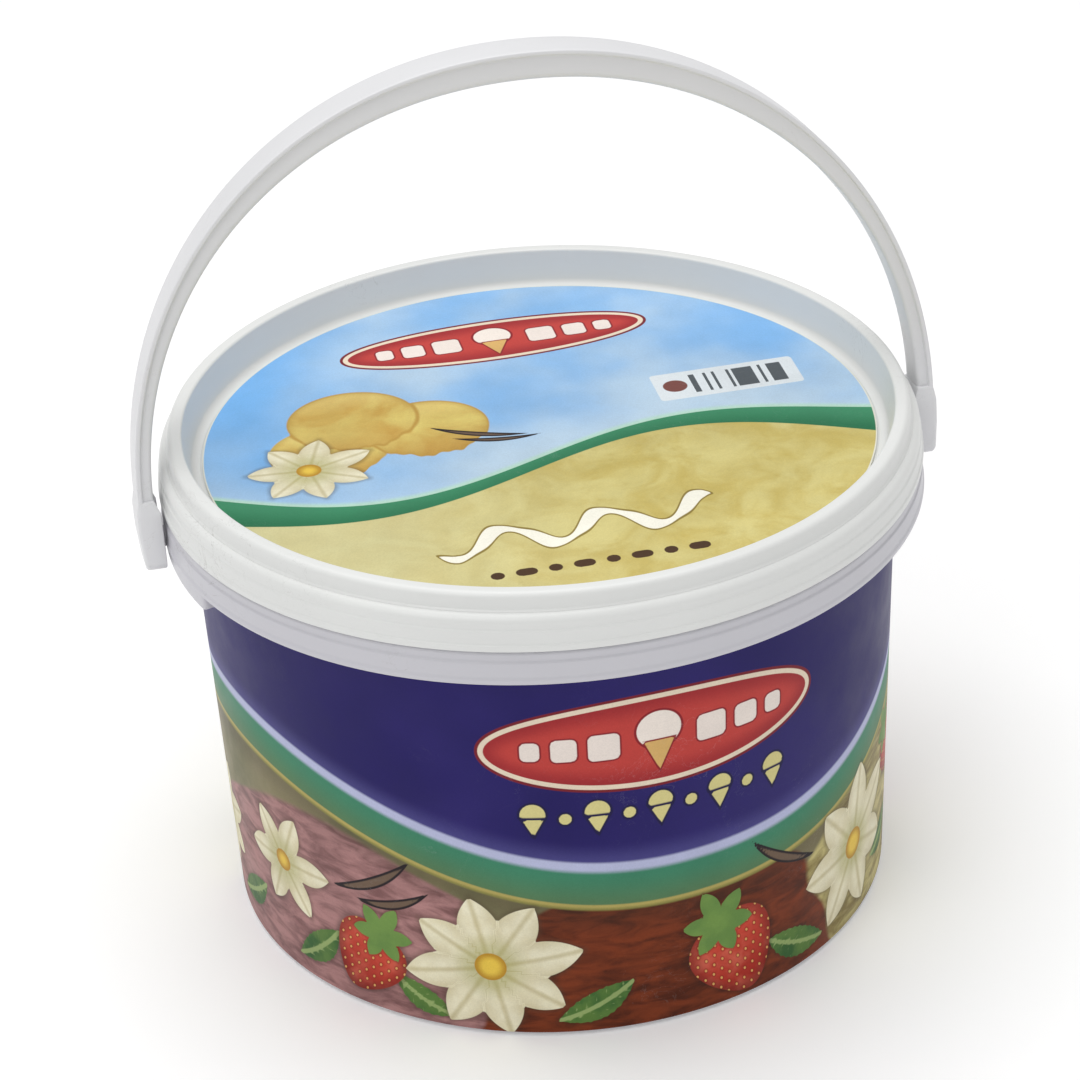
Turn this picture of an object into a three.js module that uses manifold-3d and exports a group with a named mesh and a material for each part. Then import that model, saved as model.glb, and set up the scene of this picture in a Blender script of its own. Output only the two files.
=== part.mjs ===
// Round four-litre ice cream tub with a press-on lid, a wrap-round label and a carrying bail.
// Millimetres, +Z up. The origin is the centre of the base, on the surface that the tub stands on.
// +X runs along the bail's hinge axis, and the front of the print faces -Y.

import * as THREE from 'three';
import { mergeVertices } from 'three/addons/utils/BufferGeometryUtils.js';
import Module from 'manifold-3d';

const wasm = await Module();
wasm.setup();

// Roundness of the turned pieces
const SIDES = 72;
const PIN_SIDES = 24;
// Space left between pieces that fit together, and how far joined pieces sink into each other
const FIT_GAP = 0.3;
const BITE = 1;

// Tub wall
const BASE_RADIUS = 96.3;
const WALL_TOP_RADIUS = 100.7;
const WALL_TOP = 124.6;

// Foot and underside
const FOOT_OUTER = 95.0;
const FOOT_INNER = 89.0;
const FOOT_ROUND = 1.1;
const FOOT_STEP = 0.3;
const BASE_RECESS = 2.6;
const GATE_RADIUS = 13;
const GATE_STEP = 0.7;

// Collar round the mouth of the tub
const COLLAR_RADIUS = 109.2;
const COLLAR_BEAD = 0.4;
const COLLAR_BEAD_TOP = 125.9;
const COLLAR_BEAD_BLEND = 0.7;
const COLLAR_BOTTOM = 124.6;
const COLLAR_TOP = 134.2;
const COLLAR_ROUND = 1.2;
const COLLAR_STEP = 0.5;
const COLLAR_STEP_BOTTOM = 131.0;
const COLLAR_THICK = 1.7;
const COLLAR_GROOVE_TOP = 131.2;
const COLLAR_RIBS = 24;
const COLLAR_RIB_THICK = 1.4;
const COLLAR_RIB_BOTTOM = 127.5;
const COLLAR_RIB_TOP = 131.7;
const NECK_RADIUS = 105.0;
const NECK_TOP = 137.6;

// Lid
const SKIRT_RADIUS = 109.0;
const SKIRT_BOTTOM = 134.6;
const SKIRT_BEAD = 0.4;
const SKIRT_LIP = 1.7;
const SKIRT_STEP = 0.5;
const SKIRT_STEP_BOTTOM = 140.4;
const SKIRT_DRAFT = 0.1;
const SHOULDER_TOP = 145.0;
const SHOULDER_ROUND = 2.6;
const SHOULDER_TURN = 78;
const CREST_TOP = 150.3;
const CREST_FILLET = 0.7;
const CREST_ROUND_OUT = 1.8;
const CREST_ROUND_IN = 0.9;
const RECESS_ROUND = 2.2;
const DRAFT_TURN = 10;
const CREST_OUTER = 105.7;
const CREST_INNER = 101.3;
const RECESS_RADIUS = 99.6;
const PANEL_TOP = 139.6;

// Labels
const LABEL_THICK = 0.4;
const SIDE_LABEL_BOTTOM = 1.2;
const SIDE_LABEL_TOP = 121.6;
const LID_LABEL_RADIUS = 96.3;

// Ears and pivot pins on the collar
const PIVOT_HEIGHT = 126.0;
const PIN_RADIUS = 3.0;
const PIN_REACH = 114.2;
const PIN_ROOT = 105.2;
const EAR_HALF_ANGLE = 18;
const EAR_SET_BACK = 0.3;
const EAR_BOTTOM = 119.0;
const EAR_NOTCH_GAP = 0.5;

// Bail
const BAIL_RADIUS = 113.9;
const BAIL_LEG = 11.5;
const BAIL_LEAN = 8.0;
const ARCH_POWER = 2.07;
const STRAP_WIDTH = 13.5;
const GRIP_WIDTH = 16.5;
const STRAP_THICK = 4.6;
const GRIP_THICK = 8.4;
const STRAP_FLANGE = 1.4;
const STRAP_INSET = 1.1;
const STRAP_CHAMFER = 0.45;
const STRAP_LOWER_CHAMFER = 0.9;
const STRAP_STEPS = 56;

// Lugs at the bail's two ends, measured from the hinge axis and the tub's axis
const LUG_INNER = 110.1;
const LUG_OUTER = 116.9;
const LUG_DROP = 7.8;
const LUG_RISE = 13.0;
const LUG_NECK = 4.0;
const LUG_HALF_WIDTH = 7.3;
const LUG_TAPER = 0.9;
const LUG_TAPER_TOP = 2.4;
const LUG_CORNER = 2.6;
const EYE_RADIUS = PIN_RADIUS + FIT_GAP;
const EYE_DEPTH = PIN_REACH + 2 * FIT_GAP;

// Looks of the pieces
const whitePlastic = { color: 0xe4e6e6, roughness: 0.38, metalness: 0 };
const lidPlastic = { color: 0xdde2e4, roughness: 0.32, metalness: 0 };
const bailPlastic = { color: 0xe2e3e3, roughness: 0.42, metalness: 0 };
const sidePrint = { color: 0x37306e, roughness: 0.35, metalness: 0 };
const lidPrint = { color: 0x9cc4ea, roughness: 0.35, metalness: 0 };

// Closed mesh to solid: shared corners are merged and slivers on the axis are dropped
function toSolid(geometry) {
  geometry.deleteAttribute('normal');
  geometry.deleteAttribute('uv');
  const merged = mergeVertices(geometry, 1e-4);
  const index = merged.index.array;
  const kept = [];
  for (let i = 0; i < index.length; i += 3) {
    const [a, b, c] = [index[i], index[i + 1], index[i + 2]];
    if (a !== b && b !== c && c !== a) kept.push(a, b, c);
  }
  return new wasm.Manifold(new wasm.Mesh({
    numProp: 3,
    vertProperties: new Float32Array(merged.attributes.position.array),
    triVerts: new Uint32Array(kept),
  }));
}

// Solid back to a named mesh with its own material
function toMesh(solid, name, look) {
  const mesh = solid.getMesh();
  const geometry = new THREE.BufferGeometry();
  geometry.setAttribute('position', new THREE.BufferAttribute(new Float32Array(mesh.vertProperties), 3));
  geometry.setIndex(new THREE.BufferAttribute(new Uint32Array(mesh.triVerts), 1));
  geometry.computeVertexNormals();
  const named = new THREE.Mesh(geometry, new THREE.MeshStandardMaterial(look));
  named.name = name;
  return named;
}

// Outline of [radius, height] corners turned round the Z axis
function turned(outline) {
  const points = outline.map(([radius, height]) => new THREE.Vector2(radius, height));
  const geometry = new THREE.LatheGeometry(points, SIDES);
  geometry.rotateX(Math.PI / 2);
  return toSolid(geometry);
}

// Part of a circle about a centre, from one angle to another, as outline corners
function arc(centreRadius, centreHeight, round, fromDeg, toDeg, steps) {
  const corners = [];
  for (let i = 0; i <= steps; i += 1) {
    const angle = THREE.MathUtils.degToRad(fromDeg + (toDeg - fromDeg) * i / steps);
    corners.push([centreRadius + round * Math.cos(angle), centreHeight + round * Math.sin(angle)]);
  }
  return corners;
}

// Radius of the tub's wall at a height
function wallRadius(height) {
  return BASE_RADIUS + (WALL_TOP_RADIUS - BASE_RADIUS) * height / WALL_TOP;
}

// Flat outline in the plane of radius and height, as thick as 2 * half across the Y axis
function slab(corners, half) {
  const shape = new THREE.Shape(corners.map(([x, y]) => new THREE.Vector2(x, y)));
  const geometry = new THREE.ExtrudeGeometry(shape, { depth: 2 * half, bevelEnabled: false, steps: 1 });
  geometry.translate(0, 0, -half);
  geometry.rotateX(Math.PI / 2);
  return toSolid(geometry);
}

// Tub: foot, tapered wall, neck under the lid, and the collar with the groove behind it
function tubShell() {
  const wallAtGroove = wallRadius(COLLAR_GROOVE_TOP);
  const collarInner = COLLAR_RADIUS - COLLAR_THICK;
  const collarUpper = COLLAR_RADIUS - COLLAR_STEP;
  return turned([
    [0, BASE_RECESS + GATE_STEP],
    [GATE_RADIUS, BASE_RECESS + GATE_STEP],
    [GATE_RADIUS + GATE_STEP, BASE_RECESS],
    [FOOT_INNER - BASE_RECESS, BASE_RECESS],
    [FOOT_INNER, 0],
    ...arc(FOOT_OUTER, FOOT_ROUND, FOOT_ROUND, -90, 0, 3),
    [wallRadius(FOOT_ROUND + FOOT_STEP), FOOT_ROUND + FOOT_STEP],
    [wallAtGroove, COLLAR_GROOVE_TOP],
    [collarInner, COLLAR_GROOVE_TOP],
    [collarInner, COLLAR_BOTTOM],
    [COLLAR_RADIUS + COLLAR_BEAD, COLLAR_BOTTOM],
    [COLLAR_RADIUS + COLLAR_BEAD, COLLAR_BEAD_TOP],
    [COLLAR_RADIUS, COLLAR_BEAD_TOP + COLLAR_BEAD_BLEND],
    [COLLAR_RADIUS, COLLAR_STEP_BOTTOM],
    [collarUpper, COLLAR_STEP_BOTTOM + COLLAR_STEP],
    ...arc(collarUpper - COLLAR_ROUND, COLLAR_TOP - COLLAR_ROUND, COLLAR_ROUND, 0, 90, 3),
    [NECK_RADIUS, COLLAR_TOP],
    [NECK_RADIUS, NECK_TOP],
    [0, NECK_TOP],
  ]);
}

// Thin ribs that brace the collar across the groove behind it
function collarRibs() {
  const inner = wallRadius(COLLAR_GROOVE_TOP) - BITE;
  const outer = COLLAR_RADIUS - COLLAR_THICK / 2;
  const ribs = [];
  for (let i = 0; i < COLLAR_RIBS; i += 1) {
    const rib = new THREE.BoxGeometry(outer - inner, COLLAR_RIB_THICK, COLLAR_RIB_TOP - COLLAR_RIB_BOTTOM);
    rib.translate((inner + outer) / 2, 0, (COLLAR_RIB_TOP + COLLAR_RIB_BOTTOM) / 2);
    rib.rotateZ((i + 0.5) * 2 * Math.PI / COLLAR_RIBS);
    ribs.push(toSolid(rib));
  }
  return ribs;
}

// Wedge of all that lies within an angle of the X axis, between two heights
function wedge(halfAngle, bottom, top) {
  const reach = 2 * COLLAR_RADIUS;
  const spread = reach * Math.tan(THREE.MathUtils.degToRad(halfAngle));
  const corners = [[0, 0], [reach, -spread], [reach, spread]];
  const shape = new THREE.Shape(corners.map(([x, y]) => new THREE.Vector2(x, y)));
  const geometry = new THREE.ExtrudeGeometry(shape, { depth: top - bottom, bevelEnabled: false, steps: 1 });
  geometry.translate(0, 0, bottom);
  return toSolid(geometry);
}

// Ear: the collar is deeper round the hinge, and filled in to the wall behind the pivot pin
function ear() {
  const inner = wallRadius(EAR_BOTTOM) - BITE;
  const outer = COLLAR_RADIUS - EAR_SET_BACK;
  const top = COLLAR_GROOVE_TOP + BITE;
  const ring = turned([
    [inner, EAR_BOTTOM],
    [outer, EAR_BOTTOM],
    [outer, top],
    [inner, top],
    [inner, EAR_BOTTOM],
  ]);
  return ring.intersect(wedge(EAR_HALF_ANGLE, EAR_BOTTOM - BITE, top + BITE));
}

// Pivot pin that stands out of the collar along the hinge axis
function pivotPin() {
  const pin = new THREE.CylinderGeometry(PIN_RADIUS, PIN_RADIUS, PIN_REACH - PIN_ROOT, PIN_SIDES);
  pin.rotateZ(Math.PI / 2);
  pin.translate((PIN_REACH + PIN_ROOT) / 2, 0, PIVOT_HEIGHT);
  return toSolid(pin);
}

// The same solid on the -X side
function oppositeSide(solid) {
  return solid.rotate([0, 0, 180]);
}

// Tub with its collar, ribs, ears and pivot pins as one body
function tub() {
  let solid = tubShell();
  for (const rib of collarRibs()) solid = solid.add(rib);
  for (const piece of [ear(), pivotPin()]) solid = solid.add(piece).add(oppositeSide(piece));
  return toMesh(solid, 'tub', whitePlastic);
}

// Film wrapped round the wall, with a notch for each ear
function sideLabel() {
  const inner = (height) => wallRadius(height) + FIT_GAP;
  const outer = (height) => inner(height) + LABEL_THICK;
  let sleeve = turned([
    [inner(SIDE_LABEL_BOTTOM), SIDE_LABEL_BOTTOM],
    [outer(SIDE_LABEL_BOTTOM), SIDE_LABEL_BOTTOM],
    [outer(SIDE_LABEL_TOP), SIDE_LABEL_TOP],
    [inner(SIDE_LABEL_TOP), SIDE_LABEL_TOP],
    [inner(SIDE_LABEL_BOTTOM), SIDE_LABEL_BOTTOM],
  ]);
  const notch = wedge(EAR_HALF_ANGLE + EAR_NOTCH_GAP, EAR_BOTTOM - EAR_NOTCH_GAP, SIDE_LABEL_TOP + BITE);
  sleeve = sleeve.subtract(notch).subtract(oppositeSide(notch));
  return toMesh(sleeve, 'side_label', sidePrint);
}

// Lid: recessed panel, thin crest, rounded shoulder and stepped skirt
function lid() {
  const inner = NECK_RADIUS + FIT_GAP;
  const skirtUpper = SKIRT_RADIUS - SKIRT_STEP;
  const draftEnd = 180 - DRAFT_TURN;
  const solid = turned([
    [0, NECK_TOP + FIT_GAP],
    [inner, NECK_TOP + FIT_GAP],
    [inner, SKIRT_BOTTOM],
    [SKIRT_RADIUS + SKIRT_BEAD, SKIRT_BOTTOM],
    [SKIRT_RADIUS + SKIRT_BEAD, SKIRT_BOTTOM + SKIRT_LIP],
    [SKIRT_RADIUS, SKIRT_BOTTOM + SKIRT_LIP + SKIRT_BEAD],
    [SKIRT_RADIUS - SKIRT_DRAFT, SKIRT_STEP_BOTTOM],
    [skirtUpper, SKIRT_STEP_BOTTOM + SKIRT_STEP],
    ...arc(skirtUpper - SHOULDER_ROUND, SHOULDER_TOP - SHOULDER_ROUND, SHOULDER_ROUND, 0, SHOULDER_TURN, 5),
    [CREST_OUTER + CREST_FILLET, SHOULDER_TOP + CREST_FILLET / 3],
    [CREST_OUTER + CREST_FILLET / 3, SHOULDER_TOP + CREST_FILLET],
    ...arc(CREST_OUTER - CREST_ROUND_OUT, CREST_TOP - CREST_ROUND_OUT, CREST_ROUND_OUT, 0, 90, 3),
    ...arc(CREST_INNER + CREST_ROUND_IN, CREST_TOP - CREST_ROUND_IN, CREST_ROUND_IN, 90, draftEnd, 2),
    ...arc(RECESS_RADIUS - RECESS_ROUND, PANEL_TOP + RECESS_ROUND, RECESS_ROUND, -DRAFT_TURN, -90, 4),
    [0, PANEL_TOP],
  ]);
  return toMesh(solid, 'lid', lidPlastic);
}

// Round printed film in the lid's recess
function lidLabel() {
  const bottom = PANEL_TOP + FIT_GAP;
  const top = bottom + LABEL_THICK;
  const solid = turned([
    [0, bottom],
    [LID_LABEL_RADIUS, bottom],
    [LID_LABEL_RADIUS, top],
    [0, top],
  ]);
  return toMesh(solid, 'lid_label', lidPrint);
}

// Middle radius of the arch at an angle: a circle with slightly squared shoulders
function archRadius(angle) {
  const across = Math.abs(Math.cos(angle)) ** ARCH_POWER;
  const up = Math.abs(Math.sin(angle)) ** ARCH_POWER;
  return BAIL_RADIUS * (across + up) ** (-1 / ARCH_POWER);
}

// Middle line of the bail in its own upright plane: a leg, the arch and the other leg
class BailLine extends THREE.Curve {
  getPoint(t, target = new THREE.Vector3()) {
    const arch = Math.PI * BAIL_RADIUS;
    const along = t * (arch + 2 * BAIL_LEG);
    if (along < BAIL_LEG) return target.set(BAIL_RADIUS, 0, along);
    if (along > BAIL_LEG + arch) return target.set(-BAIL_RADIUS, 0, 2 * BAIL_LEG + arch - along);
    const angle = (along - BAIL_LEG) / BAIL_RADIUS;
    const radius = archRadius(angle);
    return target.set(radius * Math.cos(angle), 0, BAIL_LEG + radius * Math.sin(angle));
  }
}

// Grip: towards the top of the arch the strap grows wider, and thicker below its flange
function shapeGrip(geometry) {
  const position = geometry.attributes.position;
  for (let i = 0; i < position.count; i += 1) {
    const x = position.getX(i);
    const rise = Math.max(position.getZ(i) - BAIL_LEG, 0);
    const angle = Math.atan2(rise, x);
    const share = Math.sin(angle) ** 2;
    const flangeUnderside = archRadius(angle) + STRAP_THICK / 2 - STRAP_FLANGE;
    const below = Math.max(flangeUnderside - Math.hypot(x, rise), 0);
    const drop = below * share * (GRIP_THICK - STRAP_THICK) / (STRAP_THICK - STRAP_FLANGE);
    const spread = 1 + share ** 2 * (GRIP_WIDTH / STRAP_WIDTH - 1);
    position.setX(i, x - Math.cos(angle) * drop);
    position.setY(i, position.getY(i) * spread);
    position.setZ(i, position.getZ(i) - Math.sin(angle) * drop);
  }
  return geometry;
}

// Section of the strap, width along x and thickness along y: a flange on the outer side over a
// body that is set in at both sides, chamfered at its corners
function strapSection() {
  const w = STRAP_WIDTH / 2;
  const t = STRAP_THICK / 2;
  const body = w - STRAP_INSET;
  const half = [
    [w - STRAP_CHAMFER, t],
    [w, t - STRAP_CHAMFER],
    [w, t - STRAP_FLANGE],
    [body, t - STRAP_FLANGE],
    [body, STRAP_LOWER_CHAMFER - t],
    [body - STRAP_LOWER_CHAMFER, -t],
  ];
  const whole = [...half, ...half.map(([x, y]) => [-x, y]).reverse()];
  return new THREE.Shape(whole.map(([x, y]) => new THREE.Vector2(x, y)));
}

// Lug: a block that tapers towards its foot, with round lower corners and a blind eye for the pin
function lug() {
  const neck = LUG_RISE - LUG_NECK;
  const outline = slab([
    [LUG_INNER, -LUG_DROP],
    [LUG_OUTER - LUG_TAPER, -LUG_DROP],
    [LUG_OUTER, LUG_TAPER_TOP],
    [LUG_OUTER, neck],
    [BAIL_RADIUS + STRAP_THICK / 2, LUG_RISE],
    [BAIL_RADIUS - STRAP_THICK / 2, LUG_RISE],
    [LUG_INNER, neck],
  ], LUG_HALF_WIDTH);
  const w = LUG_HALF_WIDTH;
  const face = [
    ...arc(w - LUG_CORNER, LUG_CORNER - LUG_DROP, LUG_CORNER, -90, 0, 4),
    [w, neck],
    [STRAP_WIDTH / 2, LUG_RISE],
  ];
  const wholeFace = [...face, ...face.map(([y, z]) => [-y, z]).reverse()];
  const shape = new THREE.Shape(wholeFace.map(([y, z]) => new THREE.Vector2(y, z)));
  const depth = LUG_OUTER - LUG_INNER + 2 * BITE;
  const block = new THREE.ExtrudeGeometry(shape, { depth, bevelEnabled: false, steps: 1 });
  block.rotateX(Math.PI / 2);
  block.rotateZ(Math.PI / 2);
  block.translate(LUG_INNER - BITE, 0, 0);
  const eyeStart = LUG_INNER - BITE;
  const eye = new THREE.CylinderGeometry(EYE_RADIUS, EYE_RADIUS, EYE_DEPTH - eyeStart, PIN_SIDES);
  eye.rotateZ(Math.PI / 2);
  eye.translate((EYE_DEPTH + eyeStart) / 2, 0, 0);
  return { body: outline.intersect(toSolid(block)), eye: toSolid(eye) };
}

// Bail: the strap with a lug at each end, leaning back from upright about its hinge
function handle() {
  const strap = new THREE.ExtrudeGeometry(strapSection(), {
    steps: STRAP_STEPS,
    extrudePath: new BailLine(),
    bevelEnabled: false,
  });
  const { body, eye } = lug();
  const solid = toSolid(shapeGrip(strap))
    .add(body)
    .add(oppositeSide(body))
    .subtract(eye)
    .subtract(oppositeSide(eye));
  const hinge = new THREE.Group();
  hinge.position.set(0, 0, PIVOT_HEIGHT);
  hinge.rotation.x = -THREE.MathUtils.degToRad(BAIL_LEAN);
  hinge.add(toMesh(solid, 'handle', bailPlastic));
  return hinge;
}

const iceCreamTub = new THREE.Group();
iceCreamTub.add(tub(), sideLabel(), lid(), lidLabel(), handle());

export default iceCreamTub;
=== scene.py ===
"""Round ice cream tub with a press-on lid, printed films and a carrying bail, on a pale floor.

Lengths in the outlines are millimetres and MM turns them into metres. +Z is up, +X runs along
the bail's hinge axis and the front of the print faces -Y.
"""

import bpy
import numpy as np
from mathutils import Matrix, Vector


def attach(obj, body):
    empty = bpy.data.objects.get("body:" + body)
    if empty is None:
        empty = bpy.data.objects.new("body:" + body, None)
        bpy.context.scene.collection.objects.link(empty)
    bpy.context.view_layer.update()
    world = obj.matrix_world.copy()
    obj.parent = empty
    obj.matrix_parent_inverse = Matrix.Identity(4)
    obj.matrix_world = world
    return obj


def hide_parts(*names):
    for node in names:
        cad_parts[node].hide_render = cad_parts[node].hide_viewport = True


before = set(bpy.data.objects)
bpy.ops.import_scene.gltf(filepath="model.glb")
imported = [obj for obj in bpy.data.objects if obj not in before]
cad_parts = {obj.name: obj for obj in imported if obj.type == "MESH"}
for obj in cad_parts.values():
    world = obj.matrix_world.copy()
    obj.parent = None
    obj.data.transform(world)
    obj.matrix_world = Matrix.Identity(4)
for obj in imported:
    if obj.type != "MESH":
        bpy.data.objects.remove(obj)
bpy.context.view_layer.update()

MM = 0.001
SIDES = 288
CREASE_TURN = 35.0

# Tub, collar and ears
BASE_RADIUS, WALL_TOP_RADIUS, WALL_TOP = 96.3, 100.7, 124.6
FOOT_OUTER, FOOT_INNER, FOOT_ROUND, FOOT_STEP, BASE_RECESS = 95.0, 89.0, 1.1, 0.3, 2.6
GATE_RADIUS, GATE_STEP, TUB_EDGE, BITE = 13.0, 0.7, 0.35, 1
COLLAR_RADIUS, COLLAR_BEAD, COLLAR_BOTTOM, COLLAR_TOP = 109.2, 0.4, 124.6, 134.2
COLLAR_BEAD_RISE, COLLAR_BEAD_FADE, COLLAR_ROUND = 1.3, 2.0, 1.2
COLLAR_STEP, COLLAR_STEP_DROP, COLLAR_STEP_FADE = 0.5, 3.2, 2.7
COLLAR_THICK, COLLAR_GROOVE_TOP, COLLAR_RIBS, COLLAR_RIB_THICK = 1.7, 131.2, 24, 1.4
COLLAR_RIB_DROP, COLLAR_RIB_BITE, COLLAR_RIB_ROUND = 3.7, 0.5, 0.5
NECK_RADIUS, NECK_TOP = 105.0, 137.6
EAR_HALF_ANGLE, EAR_BOTTOM, EAR_SET_BACK = 18.0, 119.0, 0.3
EAR_ROUND, EAR_END_ROUND, EAR_END_STEPS, EAR_STEPS = 1.1, 1.2, 6, 34
PIVOT_HEIGHT, PIN_RADIUS, PIN_REACH, PIN_ROOT = 126.0, 3.0, 114.2, 105.2
PIN_ROUND, PIN_SIDES = 0.6, 48

# Lid
FIT_GAP = 0.3
SKIRT_RADIUS, SKIRT_BOTTOM, SKIRT_BEAD, SKIRT_LIP = 109.0, 134.6, 0.4, 1.7
SKIRT_LIP_FADE, SKIRT_DRAFT = 0.4, 0.1
SKIRT_STEP_BOTTOM, SKIRT_STEP, SKIRT_STEP_FADE = 140.4, 0.5, 0.5
SHOULDER_TOP, SHOULDER_ROUND, SHOULDER_TURN = 145.0, 2.6, 78
CREST_TOP, CREST_OUTER, CREST_INNER, CREST_FILLET = 150.3, 105.7, 101.3, 0.7
CREST_ROUND_OUT, CREST_ROUND_IN, DRAFT_TURN, LID_EDGE = 1.8, 0.9, 10, 0.3
RECESS_RADIUS, RECESS_ROUND, PANEL_TOP = 99.6, 2.2, 139.6
PANEL_SEAT, PANEL_SEAT_FOOT, PANEL_SINK = 0.6, 0.5, 0.1

# Printed films
LABEL_THICK, LABEL_BOTTOM, LABEL_TOP, LABEL_NOTCH = 0.4, 1.2, 121.6, 118.5
NOTCH_HALF_ANGLE, NOTCH_NUDGE = 18.5, 2e-4
LID_LABEL_RADIUS = 96.3
SLEEVE_COLUMNS, SLEEVE_ROWS, DISC_SIDES, DISC_RINGS = 640, 126, 440, 200

# Side print: it comes twice round the tub, and its places are (distance from its middle, height)
PRINT_RADIUS = 101.0
PRINT_LENGTH = np.pi * PRINT_RADIUS
PRINT_TURN, VALLEY_TURN, SEAM_TURN = np.radians(5.0), np.radians(12.0), np.radians(95.0)
VALLEY_LOW, VALLEY_RISE, VALLEY_POWER = 57, 30, 1.25
SIDE_SCOOPS = {
    "left scoop": ((-108, -4), (72, 66), 1),
    "middle scoop": ((4, -12), (62, 66), 1),
    "right scoop": ((104, -2), (70, 64), -1),
}
SIDE_BLOSSOMS = [
    ((-51, 24), 28, 8, 12),
    ((76, 28), 29, 7, 30),
    ((-124, 38), 21, 6, 5),
    ((143, 30), 22, 8, 20),
]
CORE_SHARE = 0.17
SIDE_BERRIES = [((23, 17), 15.5, 24), ((-91, 18), 13.5, -30), ((112, 42), 12.0, 35)]
SIDE_PODS = [
    ((-86, 46), (17, 1.9), 30, 3.0),
    ((-80, 40), (14, 1.7), 18, 3.0),
    ((40, 43), (16, 1.8), -32, 3.0),
    ((116, 18), (15, 1.8), 58, -2.5),
]
SIDE_LEAVES = [
    ((-20, 10), (13, 4.8), 28, 1.5),
    ((46, 10), (13, 5.0), -22, 1.5),
    ((-73, 9), (11, 4.4), -30, 1.5),
    ((-110, 14), (13, 4.8), 40, 1.5),
    ((104, 15), (13, 4.6), 12, 1.5),
    ((-148, 14), (13, 4.8), 30, 1.5),
]
PLAQUE_HEIGHT, PLAQUE_HALF, BAR_ROUND = 97.5, (50, 14.6), 1.6
PLAQUE_BARS = [
    (side * away, half)
    for side in (-1, 1)
    for away, half in ((15.5, (4.4, 4.2)), (26.5, (3.6, 3.6)), (35.8, (2.7, 3.0)))
]
PLAQUE_CONE, PLAQUE_BALL = ((0, 97.0), 6.4), ((0, 100.6), (6.4, 5.9))
SIDE_CONES = [(-36 + 18 * i, 76.0) for i in range(5)]
SIDE_DOTS = [(-27 + 18 * i, 75.0) for i in range(4)]
DOT_RADIUS = 1.8

# Lid print: places on its plane, +Y away from the front
LID_WAVE_LOW, LID_WAVE_RISE, LID_WAVE_SHIFT, LID_WAVE_HALF = -17, 13, 5, 92
BAND_HALF, BAND_SPREAD = 2.6, 4.8
LID_BALLS = [((-50, 25), 19), ((-30, 14), 18), ((-60, 8), 17)]
BALL_SQUASH, BALL_RIM, FAR_OFF = 0.92, 0.6, 99.0
LID_BLOSSOM = ((-67, -1), 20, 7, 20)
LID_CORE = (3.6, 3.6)
LID_PODS = [((-17, 6), (15, 1.3), -24, 2.2), ((-12, 1), (13, 1.2), -10, 2.2)]
LID_PLAQUE_HEIGHT, LID_PLAQUE_HALF, LID_BAR_ROUND, LID_PLAQUE_SCALE = 62.5, (46, 12.4), 1.4, 0.93
LID_PLAQUE_CONE, LID_PLAQUE_BALL = ((0, 61.8), 5.6), ((0, 65.2), (5.6, 5.2))
DASHES = [((-28 + 8 * i, -74.6), ((1.9, 3.0)[i % 2], 1.9)) for i in range(8)]
DASH_ROUND = 1.8
STROKE_HEIGHT, STROKE_TILT, STROKE_SWING, STROKE_PITCH, STROKE_HALF = -55, 0.05, 6.0, 4.6, 1.9
STROKE_SWELL, STROKE_TAPER, STROKE_END = 0.9, 0.5, 36
PATCH, PATCH_DOT = ((60, 17), (21.5, 8.2), 1.2), ((44.5, 17), (3.6, 3.6))
PATCH_BARS = ((63.5, 17), (14.5, 5.6), 0.2)

# Bail
BAIL_RADIUS, BAIL_LEG, BAIL_LEAN, ARCH_POWER = 113.9, 11.5, 8.0, 2.07
STRAP_WIDTH, GRIP_WIDTH, STRAP_THICK, GRIP_THICK = 13.5, 16.5, 4.6, 8.4
STRAP_FLANGE, STRAP_INSET, STRAP_ROUND, STRAP_LOWER_ROUND = 1.4, 1.1, 0.5, 1.4
LUG_INNER, LUG_OUTER, LUG_DROP, LUG_RISE, LUG_NECK = 110.1, 116.9, 7.8, 13.0, 4.0
LUG_HALF_WIDTH, LUG_TAPER, LUG_TAPER_TOP, LUG_CORNER = 7.3, 0.9, 2.4, 2.6
LUG_WAIST_ROUND, LUG_FACE_ROUND, LUG_BEVEL = 0.6, 1.0, ((0.5, 0), (0.15, 0.15), (0, 0.5))
STRAP_STEPS, LEG_STEPS = 320, 8


# Outlines and grids


def wall_radius(height):
    """Radius of the tub's wall: a straight line from the base radius to the radius at its top."""
    return BASE_RADIUS + (WALL_TOP_RADIUS - BASE_RADIUS) * np.asarray(height) / WALL_TOP


def arc(centre, radius, start, end, steps):
    """Points of a circle about a centre, from one angle to another in degrees."""
    angle = np.radians(np.linspace(start, end, steps + 1))
    return [(centre[0] + radius * c, centre[1] + radius * s) for c, s in zip(np.cos(angle), np.sin(angle))]


def soften(corners, radius, steps=3, closed=False):
    """Rounds each corner: a parabola from a point one radius before it to a point one radius after
    it, pulled towards the corner. Short edges take a smaller radius."""
    p = np.asarray(corners, float)
    before, after = np.roll(p, 1, 0) - p, np.roll(p, -1, 0) - p
    long_b, long_a = (np.maximum(np.linalg.norm(v, axis=1, keepdims=True), 1e-9) for v in (before, after))
    start = p + before / long_b * np.minimum(radius, 0.4 * long_b)
    end = p + after / long_a * np.minimum(radius, 0.4 * long_a)
    t = np.linspace(0, 1, steps + 1)[None, :, None]
    bent = (1 - t) ** 2 * start[:, None] + 2 * t * (1 - t) * p[:, None] + t**2 * end[:, None]
    if closed:
        return bent.reshape(-1, 2)
    return np.concatenate([p[:1], bent[1:-1].reshape(-1, 2), p[-1:]])


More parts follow.
